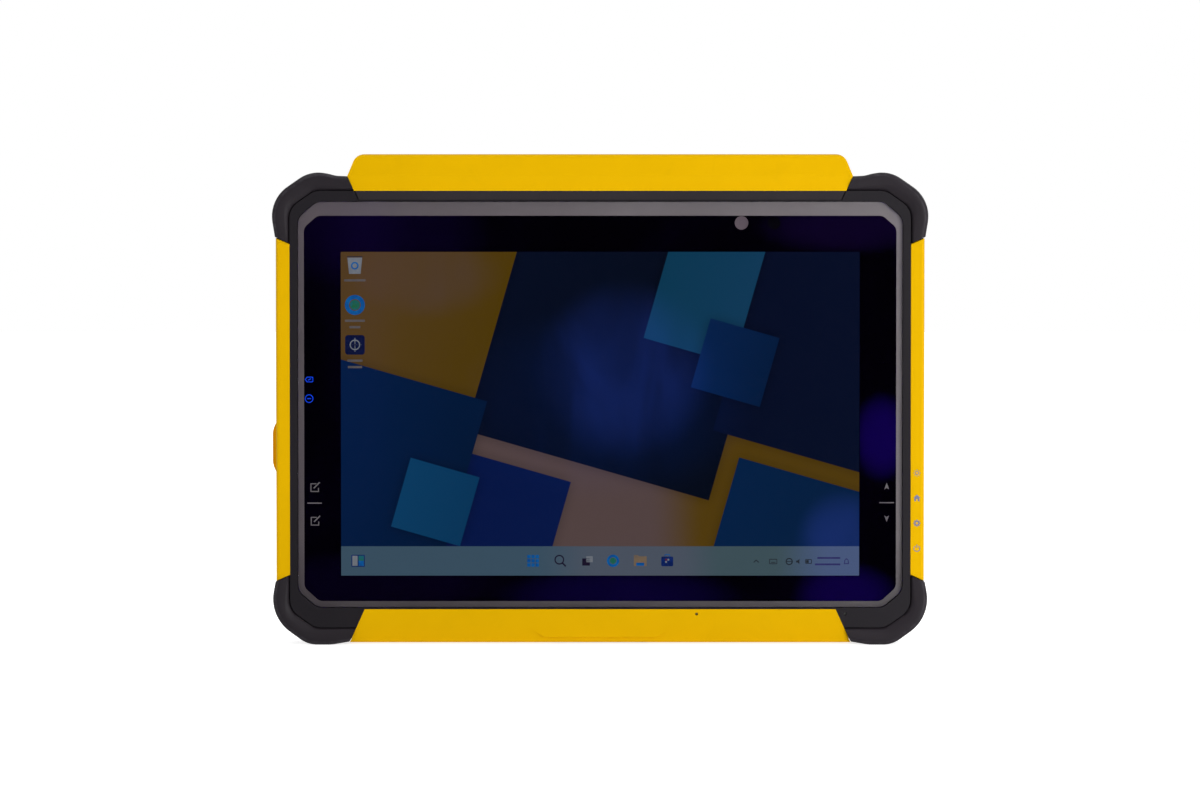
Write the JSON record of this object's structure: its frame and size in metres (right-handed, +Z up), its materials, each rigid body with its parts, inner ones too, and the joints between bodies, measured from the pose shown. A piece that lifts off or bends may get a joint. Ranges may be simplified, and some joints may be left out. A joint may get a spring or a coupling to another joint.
{
  "type": "data collector",
  "caption": "Rugged field tablet for survey data: glass touch screen in a black case, yellow side trims, rubber corner bumpers, port door, side keys, rear battery packs with catches.",
  "frame": {"origin": "middle of the lower edge at mid depth, on the plane the lower bumpers stand on", "axes": "+X to the right seen from the screen side, +Y to the back, +Z up; the screen faces -Y"},
  "size_m": [0.2746, 0.028, 0.2054],
  "materials": {
    "case_plastic": "fine spark-eroded grain, semi-matte",
    "band_plastic": "coarse moulded texture",
    "trim_yellow": "moulded in colour, satin",
    "bumper_rubber": "soft-touch, matte with polished edges",
    "cover_glass": "polished, chemically toughened",
    "glass_ink": "printed on the back of the glass, grey rim",
    "seal_rubber": "matte",
    "lcd": "glossy, lit from behind",
    "light_guide": "white",
    "magnesium": "die cast, bead blasted",
    "circuit_board": "green solder mask",
    "chip_plastic": "moulded",
    "shield_can": "tinned",
    "copper": "bare rolled copper",
    "steel": "zinc-plated",
    "gold_contact": "gold flash",
    "connector_plastic": "moulded",
    "antenna_ceramic": "fired, unglazed",
    "sensor_lens": "clear lens over a grey sensor",
    "camera_black": "coated lens",
    "light_lens": "blue translucent",
    "flash_lens": "frosted",
    "window_glass": "tinted",
    "pack_plastic": "fine grain"
  },
  "bodies": {
    "case": {"front_frame": "case_plastic", "top_band": "band_plastic", "cover_glass": "cover_glass", "glass_print": "glass_ink", "display_seal": "seal_rubber", "lcd_panel": "lcd", "backlight_unit": "light_guide", "mid_frame": "magnesium", "main_board": "circuit_board", "processor": "chip_plastic", "memory_chips": "chip_plastic", "ssd_module": "circuit_board", "wireless_module": "shield_can", "heat_spreader": "copper", "usb_a_socket": "steel", "usb_c_socket": "steel", "headset_socket": "connector_plastic", "power_socket": "connector_plastic", "port_surround": "case_plastic", "key_switch_board": "circuit_board", "housing_seal": "seal_rubber", "rear_housing": "case_plastic", "left_trim": "trim_yellow", "right_trim": "trim_yellow", "bottom_trim": "trim_yellow", "top_bar": "trim_yellow", "antenna_tray": "connector_plastic", "gnss_antenna": "antenna_ceramic", "radio_antennas": "circuit_board", "bumper_top_left": "bumper_rubber", "bumper_top_right": "bumper_rubber", "bumper_bottom_left": "bumper_rubber", "bumper_bottom_right": "bumper_rubber", "webcam": "camera_black", "light_sensor": "sensor_lens", "status_lights": "light_lens", "microphones": "shield_can", "speakers": "connector_plastic", "dock_connector": "connector_plastic", "dock_contacts": "gold_contact", "rear_camera": "camera_black", "camera_window": "window_glass", "flash_light": "flash_lens", "battery_sockets": "connector_plastic", "mount_inserts": "gold_contact", "housing_screws": "steel", "top_bar_screws": "steel", "door_pin": "steel"},
    "port_door": {"port_door": "trim_yellow", "door_seal": "seal_rubber"},
    "key_brightness": {"key_brightness": "trim_yellow"},
    "key_home": {"key_home": "trim_yellow"},
    "key_settings": {"key_settings": "trim_yellow"},
    "key_power": {"key_power": "trim_yellow"},
    "battery_left": {"battery_left": "pack_plastic"},
    "battery_right": {"battery_right": "pack_plastic"},
    "latch_left": {"latch_left": "trim_yellow"},
    "latch_right": {"latch_right": "trim_yellow"}
  },
  "joints": [
    {"name": "port_door_hinge", "type": "hinge", "parent": "case", "child": "port_door", "pos_m": [-0.1342, 0.0082, 0.0835], "axis": [0, 0, -1], "range_deg": [0, 110]},
    {"name": "key_brightness_press", "type": "slide", "parent": "case", "child": "key_brightness", "axis": [-1, 0, 0], "range_m": [0, 0.0005], "stiffness_N_per_m": 1500, "springref_m": -0.0006},
    {"name": "key_home_press", "type": "slide", "parent": "case", "child": "key_home", "axis": [-1, 0, 0], "range_m": [0, 0.0005], "stiffness_N_per_m": 1500, "springref_m": -0.0006},
    {"name": "key_settings_press", "type": "slide", "parent": "case", "child": "key_settings", "axis": [-1, 0, 0], "range_m": [0, 0.0005], "stiffness_N_per_m": 1500, "springref_m": -0.0006},
    {"name": "key_power_press", "type": "slide", "parent": "case", "child": "key_power", "axis": [-1, 0, 0], "range_m": [0, 0.0005], "stiffness_N_per_m": 1500, "springref_m": -0.0006},
    {"name": "battery_left_slide", "type": "slide", "parent": "case", "child": "battery_left", "axis": [0, 1, 0], "range_m": [0, 0.016]},
    {"name": "latch_left_slide", "type": "slide", "parent": "case", "child": "latch_left", "axis": [0, 0, 1], "range_m": [0, 0.004]},
    {"name": "battery_right_slide", "type": "slide", "parent": "case", "child": "battery_right", "axis": [0, 1, 0], "range_m": [0, 0.016]},
    {"name": "latch_right_slide", "type": "slide", "parent": "case", "child": "latch_right", "axis": [0, 0, 1], "range_m": [0, 0.004]}
  ],
  "couplings": [
    {"joint": "latch_left_slide", "follows": "battery_left_slide", "ratio": 0.25},
    {"joint": "latch_right_slide", "follows": "battery_right_slide", "ratio": 0.25}
  ]
}
